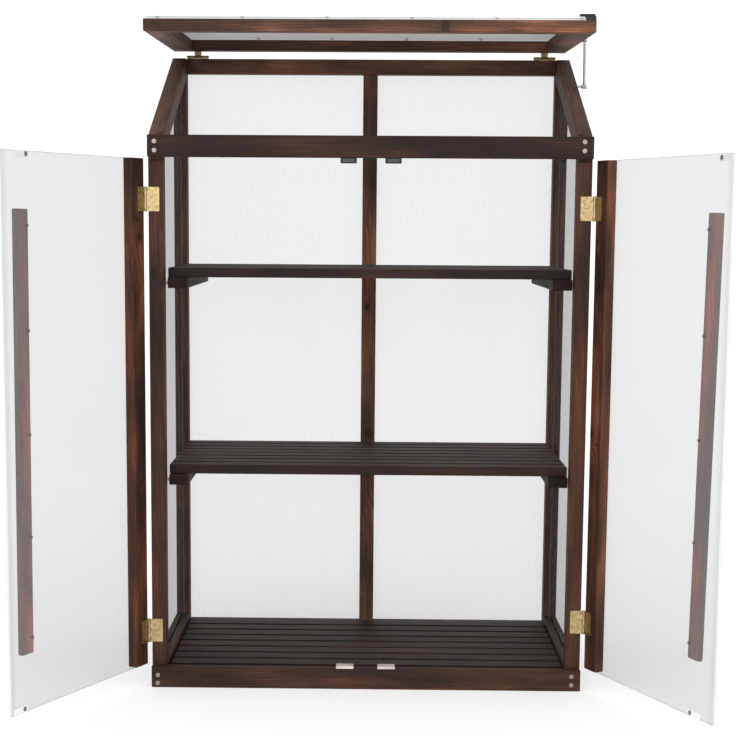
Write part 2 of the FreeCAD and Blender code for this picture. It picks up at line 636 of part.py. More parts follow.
rear_tools, upper_screws = [], []
for x in LID_HINGE_X:
    low, up = lower_t, upper_t
    for zz in (-13.0, 0.0, 13.0):
        s, t = screw(16.8, -2.7 + LEAF_T, zz, (0, -1, 0), 2.8, 16.0, 6.0)
        low = low.cut(t)
        frame_hinge_screws.append(to_lid(s, x, False))
        hole("rear_top_rail", to_lid(t, x, False))
        s, t = screw(20.2, UP_Y + LEAF_T, zz, (0, -1, 0), 2.8, 16.0, 6.0)
        up = up.cut(t)
        upper_screws.append(axis_turn(to_lid(s, x, True)))
        rear_tools.append(axis_turn(to_lid(t, x, True)))
    lower_leaves.append(to_lid(low, x, False))
    upper_leaves.append(axis_turn(to_lid(up, x, True)))
    lid_pins.append(to_lid(hinge_pin(HINGE_H), x, False))

put("lid_rail_front", lid_turn(rail_f))
put("lid_rail_rear", cut(lid_turn(rail_r), *rear_tools))
put("lid_rail_left", lid_turn(rail_a))
# stay pivot on the right edge of the lid, and its eye on the rafter
sy, sz = STAY_TOP
peg = cyl(lx1, sy, sz, (1, 0, 0), 3.6, STAY_X - 2.3 - lx1)
peg = peg.fuse(cyl(lx1 - 16.0, sy, sz, (1, 0, 0), 2.0, 16.0))
peg = peg.fuse(cyl(STAY_X - 2.3, sy, sz, (1, 0, 0), 2.5, 4.6))
head = cyl(STAY_X + 2.3, sy, sz, (1, 0, 0), 3.4, 1.8)
head = head.makeFillet(1.0, [e for e in head.Edges if e.BoundBox.XMin > STAY_X + 4.0])
peg = peg.fuse(head).removeSplitter()
rail_b2 = lid_turn(rail_b).cut(cyl(lx1 - 16.3, sy, sz, (1, 0, 0), 2.05, 17.5))
put("lid_rail_right", rail_b2)
put("lid_sheet", lid_turn(lid_sheet))
put("lid_screws", [lid_turn(s) for s in lid_screws])
put("lid_dowels", [lid_turn(s) for s in lid_dowels])
put("lid_hinge_screws", upper_screws)
put("lid_hinge_leaves", upper_leaves)
put("stay_pivot", peg)

ey, ez = STAY_EYE
dy, dz = ey - sy, ez - sz
length = math.hypot(dy, dz)
rings = []
for y, z, ro, ri, w in ((sy, sz, 4.3, 2.55, 3.6), (ey, ez, 3.8, 2.0, 9.2)):
    r = cyl(STAY_X - w / 2, y, z, (1, 0, 0), ro, w)
    r = r.makeFillet(0.8, [e for e in r.Edges if len(e.Vertexes) == 1])
    rings.append((r, cyl(STAY_X - w / 2 - 1, y, z, (1, 0, 0), ri, w + 2 if ri > 2.2 else w - 1)))
rod = Part.makeCylinder(ROD_R, length - 2 * 3.0, V(STAY_X, sy + dy * 3.0 / length, sz + dz * 3.0 / length),
                        V(0, dy, dz))
stay = joined([rod, rings[0][0], rings[1][0]])
for _, t in rings:
    stay = stay.cut(t)
put("stay_rod", stay)

eye_peg = cyl(HALF_W - 15.0, ey, ez, (1, 0, 0), 1.7, 15.0)
eye_peg = eye_peg.fuse(cyl(HALF_W, ey, ez, (1, 0, 0), 1.7, STAY_X - 5.2 - HALF_W))
flange = cyl(HALF_W, ey, ez, (1, 0, 0), 4.0, 1.4)
eye_peg = eye_peg.fuse(flange).removeSplitter()
hole("rafter_right", cyl(HALF_W - 15.3, ey, ez, (1, 0, 0), 1.75, 16.0))
put("stay_peg", eye_peg)

# small clip on the front right corner of the lid: a block with a flat lever on it
cz = lz1 + SHEET_T
clip = box(lx1 - 17.0, lx1 - 0.6, ly0 + 3.0, ly0 + 21.0, cz, cz + 3.4)
clip = clip.makeFillet(0.8, [e for e in clip.Edges if e.BoundBox.ZMin > cz + 0.1 or e.BoundBox.ZLength > 4])
lever = box(lx1 - 26.5, lx1 - 1.2, ly0 + 4.5, ly0 + 19.5, cz + 3.2, cz + 6.6)
lever = lever.makeFillet(3.5, [e for e in lever.Edges if e.BoundBox.ZLength > 3])
lever = lever.makeFillet(0.7, [e for e in lever.Edges if e.BoundBox.ZMin > cz + 6.5])
lip = box(lx1 - 17.0, lx1 - 0.6, ly0 + 0.2, ly0 + 1.8, lz1, cz + 1.8)
clip = joined([clip, box(lx1 - 17.0, lx1 - 0.6, ly0 + 0.2, ly0 + 3.8, cz, cz + 1.8), lip, lever])
put("lid_clip", lid_turn(clip))

# ---------------------------------------------------------------- frame nodes
frame = {
    "post_front_left": mirror_x(front_post), "post_front_right": front_post,
    "post_rear_left": mirror_x(rear_post), "post_rear_right": rear_post,
    "rafter_left": mirror_x(rafter), "rafter_right": rafter,
    "bottom_rail_left": mirror_x(side_rail), "bottom_rail_right": side_rail,
    "side_sheet_left": mirror_x(side_sheet), "side_sheet_right": side_sheet,
    "top_bar_front": top_bar, "bottom_rail_front": bottom_rail,
    "rear_top_rail": back_top, "rear_bottom_rail": back_bottom, "rear_mullion": mullion,
    "rear_sheet_left": mirror_x(back_sheet), "rear_sheet_right": back_sheet,
}
for name, s in frame.items():
    put(name, cut(s, *holes.get(name, [])))
put("bar_screws", bar_screws)
put("frame_screws", frame_screws)
put("hinge_leaves_fixed", fixed_leaves + lower_leaves)
put("hinge_pins", door_pins + lid_pins)
put("hinge_screws", frame_hinge_screws)

# ---------------------------------------------------------------- write
for name, solids in sorted(parts.items()):
    out = []
    for s in solids:
        s = s.copy()
        s.translate(V(0, FRONT, 0))
        out.append(s)
    shape = out[0] if len(out) == 1 else Part.makeCompound(out)
    bad = [i for i, s in enumerate(out) if not s.isValid()]
    b = shape.BoundBox
    print("%-24s %3d solids %10.0f mm3  X %.1f %.1f  Y %.1f %.1f  Z %.1f %.1f%s" % (
        name, len(out), shape.Volume, b.XMin, b.XMax, b.YMin, b.YMax, b.ZMin, b.ZMax,
        "  INVALID %s" % bad if bad else ""))
    shape.exportStep("parts/%s.step" % name)
print(len(parts), "nodes")
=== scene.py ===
import json
import math
import bmesh
import bpy
from mathutils import Matrix, Vector


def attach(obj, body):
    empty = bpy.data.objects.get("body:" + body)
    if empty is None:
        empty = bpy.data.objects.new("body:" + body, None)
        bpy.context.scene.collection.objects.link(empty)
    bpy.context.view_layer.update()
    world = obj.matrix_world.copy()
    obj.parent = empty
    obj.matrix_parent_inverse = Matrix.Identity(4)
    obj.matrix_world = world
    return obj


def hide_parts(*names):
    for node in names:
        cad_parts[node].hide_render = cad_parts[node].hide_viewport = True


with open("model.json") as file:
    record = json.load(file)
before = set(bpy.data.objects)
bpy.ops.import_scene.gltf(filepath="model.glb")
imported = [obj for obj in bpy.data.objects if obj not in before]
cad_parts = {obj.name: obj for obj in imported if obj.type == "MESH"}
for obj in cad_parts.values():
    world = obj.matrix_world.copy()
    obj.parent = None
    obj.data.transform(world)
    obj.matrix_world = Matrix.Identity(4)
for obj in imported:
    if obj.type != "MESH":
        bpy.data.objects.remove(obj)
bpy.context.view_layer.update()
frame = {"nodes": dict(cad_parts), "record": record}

NODES = frame["nodes"]
scene = bpy.context.scene

# ------------------------------------------------------------------ camera
# Solved from the frame's edges: metres, X right, Y rear, Z up.
F_PX, PX, PY, SIDE = 1753.96, 339.32, 478.48, 736.0
YAW, PITCH, ROLL = (math.radians(a) for a in (0.92, 8.13, -0.36))
right, fwd, up = Vector((1, 0, 0)), Vector((0, 1, 0)), Vector((0, 0, 1))
turn = Matrix.Rotation(YAW, 3, up)
right, fwd = turn @ right, turn @ fwd
turn = Matrix.Rotation(-PITCH, 3, right)
fwd, up = turn @ fwd, turn @ up
turn = Matrix.Rotation(ROLL, 3, fwd)
right, up = turn @ right, turn @ up
cam_data = bpy.data.cameras.new("camera")
cam = bpy.data.objects.new("camera", cam_data)
scene.collection.objects.link(cam)
axes = Matrix((right, up, -fwd)).transposed().to_4x4()
cam.matrix_world = Matrix.Translation((-0.00004, -2.95629, 0.78893)) @ axes
cam_data.sensor_fit = "HORIZONTAL"
cam_data.sensor_width = 36.0
cam_data.lens = F_PX * 36.0 / SIDE
cam_data.shift_x = (SIDE / 2 - PX) / SIDE
cam_data.shift_y = (PY - SIDE / 2) / SIDE
cam_data.clip_start, cam_data.clip_end = 0.05, 400.0
scene.camera = cam

# ------------------------------------------------------------------ floor and light
floor_mesh = bpy.data.meshes.new("floor")
R, SEG = 120.0, 64
verts = [(0.0, 0.0, -0.0005)] + [(R * math.cos(2 * math.pi * i / SEG), R * math.sin(2 * math.pi * i / SEG), -0.0005)
                                for i in range(SEG)]
floor_mesh.from_pydata(verts, [], [(0, 1 + i, 1 + (i + 1) % SEG) for i in range(SEG)])
floor = bpy.data.objects.new("floor", floor_mesh)
scene.collection.objects.link(floor)
floor_mat = bpy.data.materials.new("floor")
floor_mat.use_nodes = True
b = floor_mat.node_tree.nodes["Principled BSDF"]
b.inputs["Base Color"].default_value = (0.50, 0.50, 0.50, 1)
b.inputs["Roughness"].default_value = 1.0
b.inputs["Specular IOR Level"].default_value = 0.0
b.inputs["Emission Color"].default_value = (1, 1, 1, 1)
b.inputs["Emission Strength"].default_value = 0.49
floor_mesh.materials.append(floor_mat)

world = bpy.data.worlds.new("studio")
scene.world = world
world.use_nodes = True
world.node_tree.nodes["Background"].inputs["Color"].default_value = (1.0, 1.0, 1.0, 1)
world.node_tree.nodes["Background"].inputs["Strength"].default_value = 1.14


def soft_sun(name, strength, angle, direction):
    data = bpy.data.lights.new(name, "SUN")
    data.energy = strength
    data.angle = math.radians(angle)
    obj = bpy.data.objects.new(name, data)
    scene.collection.objects.link(obj)
    obj.rotation_mode = "QUATERNION"
    obj.rotation_quaternion = Vector(direction).to_track_quat("-Z", "Y")
    return obj


soft_sun("key", 1.2, 50, (0.30, 0.93, -0.30))
soft_sun("fill", 0.6, 60, (-0.50, 0.90, -0.25))

scene.view_settings.view_transform = "Standard"
scene.view_settings.look = "None"
scene.view_settings.exposure = 0.0
scene.view_settings.gamma = 1.0
scene.cycles.transparent_max_bounces = 48


# ------------------------------------------------------------------ node helpers
class Net:
    def __init__(self, tree):
        self.t = tree

    def node(self, kind, **props):
        n = self.t.nodes.new(kind)
        for k, v in props.items():
            setattr(n, k, v)
        return n

    def put(self, socket, value):
        if isinstance(value, bpy.types.NodeSocket):
            self.t.links.new(value, socket)
        elif value is not None:
            socket.default_value = value

    def math(self, op, a, b=None, c=None, clamp=False):
        n = self.node("ShaderNodeMath", operation=op, use_clamp=clamp)
        for i, v in enumerate((a, b, c)):
            if v is not None:
                self.put(n.inputs[i], v)
        return n.outputs[0]

    def vec(self, op, a, b=None, scale=None):
        n = self.node("ShaderNodeVectorMath", operation=op)
        self.put(n.inputs[0], a)
        if b is not None:
            self.put(n.inputs[1], b)
        if scale is not None:
            self.put(n.inputs["Scale"], scale)
        return n.outputs["Value"] if op in ("LENGTH", "DOT_PRODUCT", "DISTANCE") else n.outputs["Vector"]

    def split(self, v):
        n = self.node("ShaderNodeSeparateXYZ")
        self.put(n.inputs[0], v)
        return n.outputs

    def join(self, x, y, z):
        n = self.node("ShaderNodeCombineXYZ")
        for i, v in enumerate((x, y, z)):
            self.put(n.inputs[i], v)
        return n.outputs[0]

    def noise(self, v, scale=1.0, detail=3.0, rough=0.5, warp=0.0):
        n = self.node("ShaderNodeTexNoise")
        self.put(n.inputs["Vector"], v)
        self.put(n.inputs["Scale"], scale)
        self.put(n.inputs["Detail"], detail)
        self.put(n.inputs["Roughness"], rough)
        self.put(n.inputs["Distortion"], warp)
        return n.outputs["Fac"]

    def span(self, v, a, b, c=0.0, d=1.0, kind="SMOOTHSTEP"):
        n = self.node("ShaderNodeMapRange", interpolation_type=kind)
        for i, x in enumerate((v, a, b, c, d)):
            self.put(n.inputs[i], x)
        return n.outputs[0]

    def mix(self, f, a, b, blend="MIX"):
        n = self.node("ShaderNodeMix", data_type="RGBA", blend_type=blend)
        self.put(n.inputs[0], f)
        self.put(n.inputs[6], a)
        self.put(n.inputs[7], b)
        return n.outputs[2]

    def blend(self, f, a, b):
        n = self.node("ShaderNodeMix", data_type="FLOAT")
        self.put(n.inputs[0], f)
        self.put(n.inputs[2], a)
        self.put(n.inputs[3], b)
        return n.outputs[0]

    def ramp(self, f, stops):
        n = self.node("ShaderNodeValToRGB")
        self.put(n.inputs[0], f)
        e = n.color_ramp.elements
        while len(e) < len(stops):
            e.new(0.5)
        for i, (p, c) in enumerate(stops):
            e[i].position = p
            e[i].color = (*c, 1)
        return n.outputs[0]

    def bump(self, height, strength, distance):
        n = self.node("ShaderNodeBump")
        self.put(n.inputs["Height"], height)
        self.put(n.inputs["Strength"], strength)
        self.put(n.inputs["Distance"], distance)
        return n.outputs["Normal"]


def material(name):
    m = bpy.data.materials.new(name)
    m.use_nodes = True
    net = Net(m.node_tree)
    return m, net, m.node_tree.nodes["Principled BSDF"]


def object_mm(net):
    """Position in the piece's own rest frame, in millimetres."""
    tc = net.node("ShaderNodeTexCoord")
    return net.vec("SCALE", tc.outputs["Object"], scale=1000.0)


def wear(o, mat):
    o.data.materials.clear()
    o.data.materials.append(mat)


# ------------------------------------------------------------------ stained softwood
def wood_group():
    g = bpy.data.node_groups.new("stained_softwood", "ShaderNodeTree")
    for name, kind in (("P", "NodeSocketVector"), ("Half", "NodeSocketVector"), ("Seed", "NodeSocketFloat"),
                       ("Tone", "NodeSocketFloat"), ("Figure", "NodeSocketFloat"), ("Tint", "NodeSocketColor"),
                       ("Grey", "NodeSocketFloat")):
        g.interface.new_socket(name, in_out="INPUT", socket_type=kind)
    for name, kind in (("Color", "NodeSocketColor"), ("Roughness", "NodeSocketFloat"), ("Normal", "NodeSocketVector")):
        g.interface.new_socket(name, in_out="OUTPUT", socket_type=kind)
    n = Net(g)
    gi = n.node("NodeGroupInput").outputs
    go = n.node("NodeGroupOutput").inputs
    P, seed = gi["P"], gi["Seed"]
    x, y, z = n.split(P)
    shift = n.join(n.math("MULTIPLY", seed, 137.13), n.math("MULTIPLY", seed, 71.7), n.math("MULTIPLY", seed, 53.9))
    Ps = n.vec("ADD", P, shift)

    def stretched(sx, sy, detail, rough, warp=0.0):
        return n.noise(n.vec("MULTIPLY", Ps, (sx, sy, sy)), 1.0, detail, rough, warp)

    low = stretched(0.0042, 0.022, 2.0, 0.5)
    mid = stretched(0.013, 0.13, 3.0, 0.55, 0.4)
    fine = stretched(0.028, 0.75, 3.0, 0.6)
    fibre = stretched(0.05, 2.6, 3.0, 0.65)
    drift = stretched(0.006, 0.02, 2.0, 0.5)

    # knots: branches through the piece, square to the grain
    cell = (150.0, 46.0, 46.0)
    vo = n.node("ShaderNodeTexVoronoi", feature="F1")
    q = n.vec("DIVIDE", Ps, cell)
    n.put(vo.inputs["Vector"], q)
    vo.inputs["Scale"].default_value = 1.0
    vo.inputs["Randomness"].default_value = 0.9
    away = n.vec("MULTIPLY", n.vec("SUBTRACT", q, vo.outputs["Position"]), cell)
    dist = n.vec("LENGTH", n.vec("MULTIPLY", away, (0.75, 1.0, 0.4)))
    rnd = n.split(vo.outputs["Color"])
    there = n.math("GREATER_THAN", rnd[0], 0.62)
    size = n.math("MULTIPLY_ADD", rnd[1], 4.5, 2.5)
    ragged = n.math("ADD", dist, n.math("MULTIPLY", n.math("SUBTRACT", mid, 0.5), 3.0))
    knot = n.math("MULTIPLY", there, n.math("SUBTRACT", 1.0, n.span(n.math("DIVIDE", ragged, size), 0.6, 1.15)))
    swirl = n.math("MULTIPLY", there, n.math("EXPONENT", n.math("MULTIPLY", n.math("POWER", n.math("DIVIDE", dist, 15.0), 2.0), -1.0)))

    # growth rings about a pith outside the piece
    cy = n.math("MULTIPLY_ADD", n.math("FRACT", n.math("MULTIPLY", seed, 0.618)), 60.0, -30.0)
    cz = n.math("MULTIPLY_ADD", n.math("FRACT", n.math("MULTIPLY", seed, 0.371)), -45.0, -18.0)
    wob = n.math("MULTIPLY", n.math("SUBTRACT", drift, 0.5), 26.0)
    yy = n.math("ADD", n.math("SUBTRACT", y, cy), n.math("ADD", wob, n.math("MULTIPLY", x, 0.018)))
    zz = n.math("ADD", n.math("SUBTRACT", z, cz), n.math("MULTIPLY", wob, 0.6))
    rad = n.math("SQRT", n.math("ADD", n.math("MULTIPLY", yy, yy), n.math("MULTIPLY", zz, zz)))
    rad = n.math("ADD", rad, n.math("ADD", n.math("MULTIPLY", swirl, 13.0), n.math("MULTIPLY", mid, 1.3)))
    ring = n.math("FRACT", n.math("DIVIDE", rad, 3.3))
    late = n.math("MULTIPLY", n.span(ring, 0.25, 0.86), n.math("SUBTRACT", 1.0, n.span(ring, 0.93, 1.0)))

    f = n.math("MULTIPLY", n.math("MULTIPLY", n.math("SUBTRACT", low, 0.5), 1.7), gi["Figure"])
    f = n.math("ADD", f, n.math("MULTIPLY", n.math("SUBTRACT", mid, 0.5), 0.6))
    f = n.math("ADD", f, n.math("MULTIPLY", n.math("SUBTRACT", fine, 0.5), 0.42))
    f = n.math("ADD", f, n.math("MULTIPLY", n.math("SUBTRACT", fibre, 0.5), 0.30))
    f = n.math("ADD", f, n.math("MULTIPLY", n.math("SUBTRACT", late, 0.35), 0.20))
    f = n.math("SUBTRACT", f, n.math("MULTIPLY", swirl, 0.18))
    f = n.math("ADD", n.math("ADD", f, 0.46), gi["Tone"], clamp=True)
    col = n.ramp(f, [(0.0, (0.0100, 0.0055, 0.0042)), (0.3, (0.0205, 0.0105, 0.0072)), (0.5, (0.036, 0.0175, 0.0112)),
                     (0.7, (0.062, 0.0275, 0.0165)), (0.86, (0.095, 0.0410, 0.0240)), (1.0, (0.145, 0.0720, 0.0460))])
    col = n.mix(n.math("MULTIPLY", knot, 0.88), col, (0.0100, 0.0042, 0.0028, 1))
    bright = n.split(col)
    lum = n.math("ADD", n.math("MULTIPLY", bright[0], 0.5), n.math("MULTIPLY", bright[1], 0.6))
    col = n.mix(gi["Grey"], col, n.join(n.math("MULTIPLY", lum, 1.06), n.math("MULTIPLY", lum, 1.0), n.math("MULTIPLY", lum, 0.96)))

    # distance to the nearest long edge and to the sawn ends
    hx, hy, hz = n.split(gi["Half"])
    ex = n.math("SUBTRACT", hx, n.math("ABSOLUTE", x))
    ey = n.math("SUBTRACT", hy, n.math("ABSOLUTE", y))
    ez = n.math("SUBTRACT", hz, n.math("ABSOLUTE", z))
    small = n.math("MINIMUM", n.math("MINIMUM", ex, ey), ez)
    large = n.math("MAXIMUM", n.math("MAXIMUM", ex, ey), ez)
    total = n.math("ADD", n.math("ADD", ex, ey), ez)
    second = n.math("SUBTRACT", n.math("SUBTRACT", total, small), large)
    worn = n.noise(n.vec("MULTIPLY", Ps, (0.03, 0.09, 0.09)), 1.0, 4.0, 0.6)
    reach = n.math("MULTIPLY_ADD", worn, 5.5, -1.9)
    edge = n.math("SUBTRACT", 1.0, n.span(second, n.math("MULTIPLY", reach, 0.3), n.math("ADD", reach, 0.35)))
    edge = n.math("MULTIPLY", edge, n.span(worn, 0.38, 0.6))
    col = n.mix(n.math("MULTIPLY", edge, 0.42), col, n.mix(1.0, col, (2.1, 1.75, 1.5, 1), "MULTIPLY"))
    sawn = n.math("SUBTRACT", 1.0, n.span(ex, 0.2, 1.0))
    pores = n.noise(n.vec("MULTIPLY", Ps, (0.2, 1.9, 1.9)), 1.0, 3.0, 0.6)
    endc = n.mix(1.0, col, n.mix(n.span(pores, 0.35, 0.7), (0.42, 0.42, 0.42, 1), (0.95, 0.9, 0.85, 1)), "MULTIPLY")
    col = n.mix(sawn, col, endc)
    col = n.mix(1.0, col, gi["Tint"], "MULTIPLY")
    n.put(go["Color"], col)

    rough = n.math("ADD", 0.47, n.math("MULTIPLY", mid, 0.20))
    rough = n.math("ADD", rough, n.math("MULTIPLY", fibre, 0.12))
    rough = n.math("ADD", rough, n.math("MULTIPLY", edge, 0.08))
    rough = n.math("ADD", rough, n.math("MULTIPLY", sawn, 0.2))
    n.put(go["Roughness"], n.math("SUBTRACT", rough, n.math("MULTIPLY", knot, 0.12)))
    h = n.math("MULTIPLY", fibre, 0.5)
    h = n.math("ADD", h, n.math("MULTIPLY", fine, 0.45))
    h = n.math("ADD", h, n.math("MULTIPLY", late, 0.35))
    h = n.math("ADD", h, n.math("MULTIPLY", knot, 0.5))
    h = n.math("ADD", h, n.math("MULTIPLY", n.math("MULTIPLY", pores, sawn), 1.2))
    n.put(go["Normal"], n.bump(h, 0.55, 0.00045))
    return g


WOOD = wood_group()
# four plain colour factors over the stain, each shared by a group of pieces: RED and STRIP are the wood's own colour,
# the pale group is partly paler wood and partly painted light, the dark group partly darker stain and partly painted
# shade
RED, PALE_AND_PAINTED_LIGHT, STRIP, DARK_AND_PAINTED_SHADE = (1.0, 0.75, 0.6), (1.8, 1.6, 1.4), (1.8, 1.4, 1.3), (0.5, 0.4, 0.4)
TINT = {n: c for names, c in (
    (("post_front_left", "post_front_right", "door_left_stile", "door_right_stile", "bottom_rail_front"), RED),
    # painted light: rear posts, rafters, mullion, rear top rail and lid rails are made lighter for light that reaches
    # them, on top of a paler wood
    (("post_rear_left", "post_rear_right", "rafter_left", "rafter_right", "rear_mullion", "rear_top_rail",
      "lid_rail_front", "lid_rail_rear", "lid_rail_left", "lid_rail_right"), PALE_AND_PAINTED_LIGHT),
    (("door_left_strip", "door_right_strip"), STRIP),
    # painted shade: shelf slats, bearers and the front top bar are made darker for the shade they sit in, on top of a
    # darker stain
    (("shelf_slats_upper", "shelf_slats_middle", "shelf_slats_bottom", "shelf_bearers_upper",
      "shelf_bearers_middle", "top_bar_front"), DARK_AND_PAINTED_SHADE)) for n in names}
AXES = {"x": Matrix.Identity(3),
        "y": Matrix(((0, 1, 0), (1, 0, 0), (0, 0, -1))),      # rows: local x, y, z in the part's frame
        "z": Matrix(((0, 0, 1), (1, 0, 0), (0, 1, 0)))}


def wood(node, grain, seed, tone=0.0, figure=1.0, grey=0.0, turn=None, slats=None, sides=(), knots=(), ends=()):
    """turn: matrix from the piece's own square frame to the part's frame, where it isn't square to it.
    sides: (normal, colour factors), painted light: faces made lighter or darker for how light falls on them.
    knots: (place in the part's frame in mm, radius) of single large knots.
    ends: (face normal, from, to, colour factors), painted light on one face that changes along the piece's length."""
    o = NODES[node]
    base = AXES[grain]
    inv = base @ (turn.transposed() if turn is not None else Matrix.Identity(3))
    pts = [inv @ v.co for v in o.data.vertices]
    lo = Vector([min(p[i] for p in pts) for i in range(3)])
    hi = Vector([max(p[i] for p in pts) for i in range(3)])
    centre, half = (lo + hi) * 500.0, (hi - lo) * 500.0
    m, net, bsdf = material("wood_" + node)
    tc = net.node("ShaderNodeTexCoord")
    mp = net.node("ShaderNodeMapping", vector_type="POINT")
    net.put(mp.inputs["Vector"], tc.outputs["Object"])
    mp.inputs["Scale"].default_value = (1000.0, 1000.0, 1000.0)
    mp.inputs["Rotation"].default_value = inv.to_euler("XYZ")
    mp.inputs["Location"].default_value = -centre
    p, s = mp.outputs[0], seed
    if slats:
        count, width = slats
        pitch = (2 * half.y - width) / (count - 1)
        x, y, z = net.split(p)
        row = net.math("DIVIDE", net.math("ADD", y, half.y - (width - pitch) / 2), pitch)
        index = net.math("FLOOR", row)
        yy = net.math("MULTIPLY", net.math("SUBTRACT", net.math("SUBTRACT", row, index), 0.5), pitch)
        p = net.join(x, yy, z)
        s = net.math("MULTIPLY_ADD", index, 3.37, seed)
        wn = net.node("ShaderNodeTexWhiteNoise", noise_dimensions="1D")
        net.put(wn.inputs["W"], net.math("ADD", index, seed))
        tone = net.math("MULTIPLY_ADD", wn.outputs["Value"], 0.16, tone - 0.08)
        half = Vector((half.x, width / 2, half.z))
    gn = net.node("ShaderNodeGroup")
    gn.node_tree = WOOD
    for k, v in (("P", p), ("Half", tuple(half)), ("Seed", s), ("Tone", tone), ("Figure", figure),
                 ("Tint", (*TINT.get(node, (1.0, 1.0, 1.0)), 1.0)), ("Grey", grey)):
        net.put(gn.inputs[k], v)
    colour = gn.outputs["Color"]
    # painted light: a face picked by its normal is made lighter or darker for how light falls on it
    for normal, factors in sides:
        near = net.vec("DOT_PRODUCT", tc.outputs["Normal"], tuple(Vector(normal).normalized()))
        colour = net.mix(net.span(near, 0.62, 0.90), colour, net.mix(1.0, colour, (*factors, 1.0), "MULTIPLY"))
    # painted light on one face, ramped along the piece's length
    for normal, start, stop, factors in ends:
        near = net.span(net.vec("DOT_PRODUCT", tc.outputs["Normal"], tuple(Vector(normal).normalized())), 0.62, 0.90)
        along = net.span(net.split(p)[0], start, stop)
        colour = net.mix(net.math("MULTIPLY", near, along), colour, net.mix(1.0, colour, (*factors, 1.0), "MULTIPLY"))
    for place, radius in knots:
        k = inv @ Vector(place) - centre
        d = net.vec("LENGTH", net.vec("MULTIPLY", net.vec("SUBTRACT", p, tuple(k)), (0.7, 1.0, 0.25)))
        d = net.math("MULTIPLY_ADD", net.math("SUBTRACT", net.noise(p, 0.22, 3.0, 0.6), 0.5), 5.0, d)
        heart = net.math("SUBTRACT", 1.0, net.span(d, radius * 0.55, radius))
        halo = net.math("SUBTRACT", 1.0, net.span(d, radius, radius * 2.2))
        colour = net.mix(net.math("MULTIPLY", halo, 0.45), colour, net.mix(1.0, colour, (0.45, 0.40, 0.38, 1.0), "MULTIPLY"))
        colour = net.mix(net.math("MULTIPLY", heart, 0.85), colour, (0.0095, 0.0045, 0.0032, 1.0))
    net.put(bsdf.inputs["Base Color"], colour)
    net.put(bsdf.inputs["Roughness"], gn.outputs["Roughness"])
    net.put(bsdf.inputs["Normal"], gn.outputs["Normal"])
    bsdf.inputs["Specular IOR Level"].default_value = 0.2
    wear(o, m)


# the matrix rows in AXES must form a right-handed frame for to_euler
for key, a in AXES.items():
    assert abs(a.determinant() - 1.0) < 1e-6, key

slope = Matrix.Rotation(math.atan(0.42068), 3, "X")
tilt = Matrix.Rotation(math.radians(1.44), 3, "X")
left_turn = Matrix.Rotation(math.radians(-115.55), 3, "Z")
right_turn = Matrix.Rotation(math.radians(113.12), 3, "Z")
left_lean = left_turn @ Matrix.Rotation(math.radians(-0.46), 3, "Y")
right_lean = right_turn @ Matrix.Rotation(math.radians(-1.28), 3, "Y")

wood("post_front_left", "z", 1.3, 0.02, 0.9, knots=[((-352.0, 7.5, 693.0), 6.0), ((-362.0, 7.5, 708.0), 5.0)])
wood("post_front_right", "z", 2.9, 0.02, 0.9)
wood("post_rear_left", "z", 4.1, -0.02, 0.6)
wood("post_rear_right", "z", 5.7, -0.02, 0.6)
wood("rafter_left", "y", 6.2, -0.02, 0.8, turn=slope)
wood("rafter_right", "y", 7.8, -0.02, 0.8, turn=slope)
wood("top_bar_front", "x", 8.4, 0.0, 0.8)
wood("bottom_rail_front", "x", 9.6, 0.03, 0.9)
wood("bottom_rail_left", "y", 10.3, 0.0, 0.8)
wood("bottom_rail_right", "y", 11.9, 0.0, 0.8)
wood("rear_top_rail", "x", 12.2, 0.03, 0.8)
wood("rear_bottom_rail", "x", 13.5, 0.0, 0.8)
wood("rear_mullion", "z", 14.8, 0.02, 1.1, knots=[((2.0, 400.1, 397.0), 10.0), ((-3.0, 400.1, 640.0), 5.0)])
# painted shade: the slats' front faces (normal -y) are darkened to 0.62 of the wood colour
wood("shelf_slats_upper", "x", 15.1, 0.0, 0.7, 0.1, slats=(8, 35.0), sides=[((0, -1, 0), (0.62, 0.62, 0.62))])
wood("shelf_slats_middle", "x", 26.4, 0.0, 0.7, 0.1, slats=(8, 35.0), sides=[((0, -1, 0), (0.62, 0.62, 0.62))])
wood("shelf_slats_bottom", "x", 37.9, 0.0, 0.7, 0.1, slats=(8, 35.0), sides=[((0, -1, 0), (0.62, 0.62, 0.62))])
wood("shelf_bearers_upper", "y", 18.2, -0.05, 0.7)
wood("shelf_bearers_middle", "y", 19.6, -0.05, 0.7)
wood("shelf_bearers_bottom", "y", 20.3, -0.05, 0.7)
wood("door_left_stile", "z", 21.7, 0.06, 1.3, turn=left_turn, knots=[((-391.0, -16.0, 801.0), 5.0), ((-387.0, -10.0, 772.0), 6.0)])
# painted light and reflection: one face of each strip and the right stile's edge face are made lighter for the light
# they catch
wood("door_left_strip", "z", 22.4, 0.03, 1.0, turn=left_lean, sides=[(left_turn @ Vector((0, 1, 0)), (2.5, 1.6, 1.4))])
wood("door_right_stile", "z", 23.9, 0.06, 1.3, turn=right_turn, sides=[(right_turn @ Vector((-1, 0, 0)), (1.9, 2.0, 2.1))],
     knots=[((383.0, -8.0, 716.0), 8.0), ((385.0, -12.0, 695.0), 7.0), ((381.0, -4.0, 742.0), 5.0)])
wood("door_right_strip", "z", 24.6, 0.03, 1.0, turn=right_lean, sides=[(right_turn @ Vector((0, 1, 0)), (2.5, 1.6, 1.4))])
wood("lid_dowels", "y", 30.3, 0.1, 0.6, turn=tilt)
wood("lid_rail_front", "x", 25.2, 0.12, 1.2, turn=tilt)
wood("lid_rail_rear", "x", 27.5, 0.03, 0.9, turn=tilt)
wood("lid_rail_left", "y", 28.1, 0.08, 1.0, turn=tilt)
wood("lid_rail_right", "y", 29.4, 0.08, 1.0, turn=tilt)


# ------------------------------------------------------------------ twin-wall sheet
SKIN, RIB, CELL, OPEN = 0.4, 0.35, 6.0, 1.2      # mm: skins, ribs, channel pitch, depth of the open channel ends


